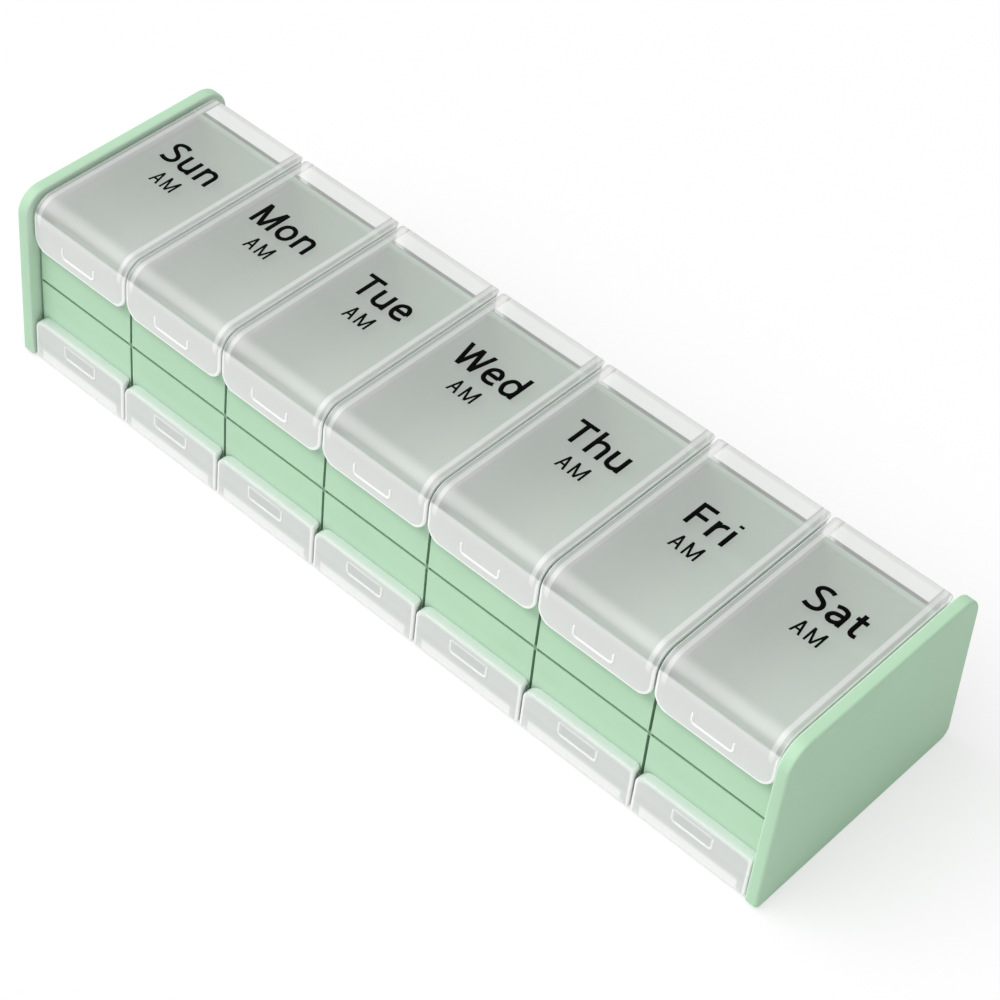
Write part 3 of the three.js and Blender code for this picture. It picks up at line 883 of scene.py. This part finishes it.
class BuildEndPlates(bpy.types.Operator):
    """Makes the two green end plates"""

    bl_idname = "organizer.end_plates"
    bl_label = "End plates"

    def execute(self, context):
        body, *_, colours = settings()
        material = moulded_green(colours)
        for name, way in (("left", -1), ("right", 1)):
            shells = Shells()
            shells.add(end_plate_surface(body, way))
            plate = shells.build(f"moulded_plate_{name}", material)
            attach(plate, BODY)
            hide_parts(f"end_plate_{name}")
        return {"FINISHED"}


class FinishTrays(bpy.types.Operator):
    """Finishes the trays in green plastic and the hinge rods in steel"""

    bl_idname = "organizer.trays"
    bl_label = "Trays and rods"

    def execute(self, context):
        *_, colours = settings()
        green = moulded_green(colours, tray=True)
        steel = drawn_steel(colours)
        for side in SIDES:
            for node, material in ((f"{side}_tray", green), (f"{side}_hinge_rod", steel)):
                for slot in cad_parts[node].material_slots:
                    slot.material = material
        return {"FINISHED"}


class BuildLids(bpy.types.Operator):
    """Makes the fourteen frosted lids"""

    bl_idname = "organizer.lids"
    bl_label = "Lids"

    def execute(self, context):
        body, lid, latch, _, colours = settings()
        for name in SIDES:
            side = Side(name, body, lid, latch)
            material = frosted(colours, side)
            for day in DAYS:
                node = f"{name}_lid_{day}"
                piece = make_lid(f"moulded_{node}", side, lid_middle(day), lid, latch, material)
                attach(piece, node)
                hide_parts(node)
        return {"FINISHED"}


# Lettering

# how far each day's two prints stand off the middle of their lid, in millimetres
PRINT_SHIFT = {
    "sun": (-0.65, -0.2), "mon": (-0.6, -0.2), "tue": (-0.5, 0.0), "wed": (0.1, 0.45),
    "thu": (0.2, 0.5), "fri": (0.1, 0.3), "sat": (1.2, 0.8),
}
# a finer stroke for the half day, as a share of the day's
HALF_DAY_WEIGHT = 0.84
# each stroke of a letter is so much thicker than the one before that no two tops meet
STROKE_RISE = 0.1


def stroke(*numbers):
    """The middle line of a stroke, in pairs of thousandths of a capital's height."""
    return [(x / 1000, y / 1000) for x, y in zip(numbers[::2], numbers[1::2])]


# Each letter's width in heights of a capital, then its strokes: straight between two points,
# smooth through more, and closed if the curve ends where it starts.
HALF_STEM = 0.076
STEM = stroke(76, 0, 76, 1000)
LOW_STEM = stroke(76, 0, 76, 740)
ARCH = stroke(70, 470, 120, 580, 220, 655, 350, 680, 480, 620, 523, 490, 524, 250, 524, 0)
LETTERS = {
    "S": (0.64, stroke(
        560, 885, 460, 925, 340, 936, 200, 905, 115, 830, 95, 740, 140, 645, 250, 575,
        390, 510, 510, 425, 562, 300, 540, 180, 440, 90, 290, 60, 160, 80, 60, 120,
    )),
    "M": (0.86, STEM, stroke(85, 1000, 430, 0), stroke(775, 1000, 430, 0), stroke(784, 0, 784, 1000)),
    "T": (0.68, stroke(0, 930, 680, 930), stroke(340, 0, 340, 950)),
    "W": (
        1.08, stroke(80, 1000, 300, 0), stroke(540, 1000, 300, 0), stroke(540, 1000, 780, 0),
        stroke(1000, 1000, 780, 0),
    ),
    "F": (0.56, STEM, stroke(100, 930, 560, 930), stroke(100, 490, 530, 490)),
    "A": (0.66, stroke(80, 0, 330, 1000), stroke(580, 0, 330, 1000), stroke(170, 330, 490, 330)),
    "P": (0.58, STEM, stroke(80, 930, 280, 930, 420, 900, 500, 810, 505, 680, 440, 560, 300, 510, 80, 505)),
    "u": (
        0.6, stroke(76, 740, 76, 500, 77, 250, 120, 120, 250, 60, 380, 85, 480, 160, 530, 270),
        stroke(524, 0, 524, 740),
    ),
    "n": (0.6, LOW_STEM, ARCH),
    "h": (0.6, stroke(76, 0, 76, 1070), ARCH),
    "r": (0.4, LOW_STEM, stroke(70, 420, 130, 560, 240, 655, 340, 675, 410, 665)),
    "i": (0.17, stroke(85, 0, 85, 740), stroke(85, 950, 85, 1050)),
    "o": (0.65, stroke(
        76, 370, 145, 595, 325, 682, 505, 595, 574, 370, 505, 145, 325, 58, 145, 145, 76, 370,
    )),
    "e": (0.6, stroke(80, 375, 530, 375), stroke(
        524, 350, 510, 520, 430, 645, 310, 682, 160, 615, 90, 490, 76, 360, 100, 200,
        190, 90, 330, 58, 450, 75, 560, 115,
    )),
    "d": (0.64, stroke(564, 0, 564, 1070), stroke(
        570, 370, 510, 575, 340, 682, 170, 630, 76, 370, 170, 110, 330, 58, 500, 150, 570, 370,
    )),
    "a": (0.57, stroke(70, 625, 170, 665, 300, 680, 430, 630, 485, 520, 494, 350, 494, 0), stroke(
        490, 405, 300, 395, 150, 350, 76, 210, 130, 90, 250, 55, 380, 100, 470, 190, 494, 280,
    )),
    "t": (
        0.4, stroke(165, 930, 165, 600, 166, 240, 200, 100, 290, 60, 400, 75), stroke(0, 680, 390, 680),
    ),
}
# spaces between letters, and those of pairs that differ
PLAIN_GAP = 0.14
GAPS = {"Tu": 0.1, "We": 0.06, "ed": 0.1, "AM": 0.19, "PM": 0.19, "un": 0.19, "Fr": 0.18}


def smooth_curve(points, steps=8):
    """A curve through points: each span is the cubic whose slope at a point is half the
    step between that point's neighbours. A curve that ends where it starts is closed."""
    points = np.asarray(points, float)
    closed = np.allclose(points[0], points[-1])
    if closed:
        around = np.vstack([points[-2], points, points[1]])
    else:
        around = np.vstack([2 * points[0] - points[1], points, 2 * points[-1] - points[-2]])
    before, here, there, after = around[:-3], around[1:-2], around[2:-1], around[3:]
    t = np.linspace(0, 1, steps + 1)[:-1, None, None]
    spans = 0.5 * (
        2 * here + (there - before) * t + (2 * before - 5 * here + 4 * there - after) * t**2
        + (3 * here - before - 3 * there + after) * t**3
    )
    curve = spans.transpose(1, 0, 2).reshape(-1, 2)
    return (curve, True) if closed else (np.vstack([curve, points[-1]]), False)


def stroke_edges(points, weight):
    """The two edges of a stroke: half a stem to either side of a curve. A straight stroke
    is cut level if it is steep and upright if it is flat, with the same width across it."""
    if len(points) > 2:
        path, closed = smooth_curve(points)
        sideways = square_to(path, closed) * HALF_STEM * weight
        return path - sideways, path + sideways, closed
    path = np.array(points, float)
    run = path[1] - path[0]
    steep = abs(run[1]) > abs(run[0])
    level = np.array([1.0, 0.0] if steep else [0.0, 1.0])
    cut = level * HALF_STEM * weight * np.linalg.norm(run) / abs(run[1 if steep else 0])
    return path - cut, path + cut, False


def letters(name, words, size, weight, middle, base, side, thickness, material):
    """Each stroke is a thin bar between its edges, set in a row of letters whose middle is
    given, on the face of the lid. The evening's letters read from below."""
    shells = Shells()
    spots = [0.0]
    for this, following in zip(words, words[1:]):
        spots.append(spots[-1] + LETTERS[this][0] + GAPS.get(this + following, PLAIN_GAP))
    half_row = (spots[-1] + LETTERS[words[-1]][0]) / 2
    for letter, spot in zip(words, spots):
        for order, points in enumerate(LETTERS[letter][1:]):
            left, right, closed = stroke_edges(points, weight)
            ring = np.stack([left, right, right, left], 1)
            depth = np.array([1, 1, 0, 0]) * thickness * (1 + order * STROKE_RISE)
            grid = np.empty(ring.shape[:2] + (3,))
            grid[..., 0] = middle + (ring[..., 0] + spot - half_row) * size
            grid[..., 1] = base + side.up * ring[..., 1] * size
            grid[..., 2] = side.z(0) + side.up * depth
            shells.add(grid, looped=closed)
    return shells.build(name, material)


class BuildLettering(bpy.types.Operator):
    """Prints the day and the half day on each lid"""

    bl_idname = "organizer.lettering"
    bl_label = "Lettering"

    def execute(self, context):
        body, lid, latch, sizes, colours = settings()
        ink = printed_ink(colours)
        for name in SIDES:
            side = Side(name, body, lid, latch)
            middle_y = (side.back + side.skirt_y(0)) / 2
            prints = (
                ("day", sizes.day, 1.0, sizes.day_back),
                ("half", sizes.half, HALF_DAY_WEIGHT, sizes.half_back),
            )
            for day in DAYS:
                for (kind, size, weight, back), shift in zip(prints, PRINT_SHIFT[day]):
                    words = day.title() if kind == "day" else name.upper()
                    base = side.back - back
                    base = base if side.up > 0 else 2 * middle_y - base
                    piece = letters(
                        f"{name}_{kind}_{day}", words, size, weight, lid_middle(day) + shift * MILLI,
                        base, side, sizes.thickness, ink,
                    )
                    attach(piece, f"{name}_lid_{day}")
        return {"FINISHED"}


# Stage

FLOOR_REACH = 6.0
# a hair below the feet
FLOOR_HEIGHT = -5e-5
# the room's light on surfaces; the camera sees plain white
ROOM_LIGHT = 0.36
# each lamp's direction, strength and width in degrees
LAMPS = {"key": ((-0.44, -0.45, 0.78), 1.5, 60), "overhead": ((-0.1, -0.28, 0.955), 1.1, 80)}
FOCAL_LENGTH = 96.52
CAMERA_PLACE = (0.26858, -0.30847, 0.43866)
# the camera's heading, angle down and roll in degrees
CAMERA_ANGLES = (39.912, 46.276, 4.595)


class BuildStage(bpy.types.Operator):
    """Sets up the pale floor, the soft light and the camera"""

    bl_idname = "organizer.stage"
    bl_label = "Stage"

    def execute(self, context):
        scene = context.scene
        link = scene.collection.objects.link
        mesh = bpy.data.meshes.new("floor")
        square = np.array([[-1, -1], [1, -1], [1, 1], [-1, 1]]) * FLOOR_REACH
        mesh.from_pydata(np.column_stack([square, np.full(4, FLOOR_HEIGHT)]), [], [(0, 1, 2, 3)])
        floor = bpy.data.objects.new("floor", mesh)
        link(floor)
        *_, colours = settings()
        floor.data.materials.append(pale_floor(colours))

        scene.world = bpy.data.worlds.new("soft_room")
        scene.world.use_nodes = True
        room = Tree(scene.world.node_tree)
        background = room.node_tree.nodes["Background"].inputs
        room.feed(background["Color"], (1, 1, 1))
        room.feed(background["Strength"], room.seen().blend(ROOM_LIGHT, 1.0))

        for name, (towards, strength, angle) in LAMPS.items():
            lamp = bpy.data.lights.new(name, "SUN")
            lamp.energy = strength
            lamp.angle = np.radians(angle)
            light = bpy.data.objects.new(name, lamp)
            light.rotation_euler = Vector(towards).to_track_quat("Z", "Y").to_euler()
            link(light)

        lens = bpy.data.cameras.new("view")
        lens.lens = FOCAL_LENGTH
        camera = bpy.data.objects.new("view", lens)
        heading, down, roll = np.radians(CAMERA_ANGLES)
        spin = Matrix.Rotation
        turn = spin(heading, 4, "Z") @ spin(np.pi / 2 - down, 4, "X") @ spin(roll, 4, "Z")
        camera.matrix_world = Matrix.Translation(CAMERA_PLACE) @ turn
        link(camera)
        scene.camera = camera
        scene.view_settings.view_transform = "Standard"
        return {"FINISHED"}


class OrganizerPanel(bpy.types.Panel):
    """Lists the organizer's operators and sizes"""

    bl_idname = "VIEW3D_PT_organizer"
    bl_label = "Pill organizer"
    bl_space_type = "VIEW_3D"
    bl_region_type = "UI"
    bl_category = "Organizer"

    def draw(self, context):
        for step in STEPS:
            self.layout.operator(step.bl_idname)
        for name, group in GROUPS.items():
            box = self.layout.box()
            box.label(text=group.__doc__)
            for key in group.__annotations__:
                box.prop(getattr(context.scene, name), key)


STEPS = (BuildEndPlates, FinishTrays, BuildLids, BuildLettering, BuildStage)
CLASSES = tuple(GROUPS.values()) + STEPS + (OrganizerPanel,)


def register():
    for kind in CLASSES:
        bpy.utils.register_class(kind)
    for name, group in GROUPS.items():
        setattr(bpy.types.Scene, name, PointerProperty(type=group))


def unregister():
    for name in GROUPS:
        delattr(bpy.types.Scene, name)
    for kind in reversed(CLASSES):
        bpy.utils.unregister_class(kind)


def main():
    register()
    for step in STEPS:
        family, action = step.bl_idname.split(".")
        getattr(getattr(bpy.ops, family), action)()


if __name__ == "__main__":
    main()
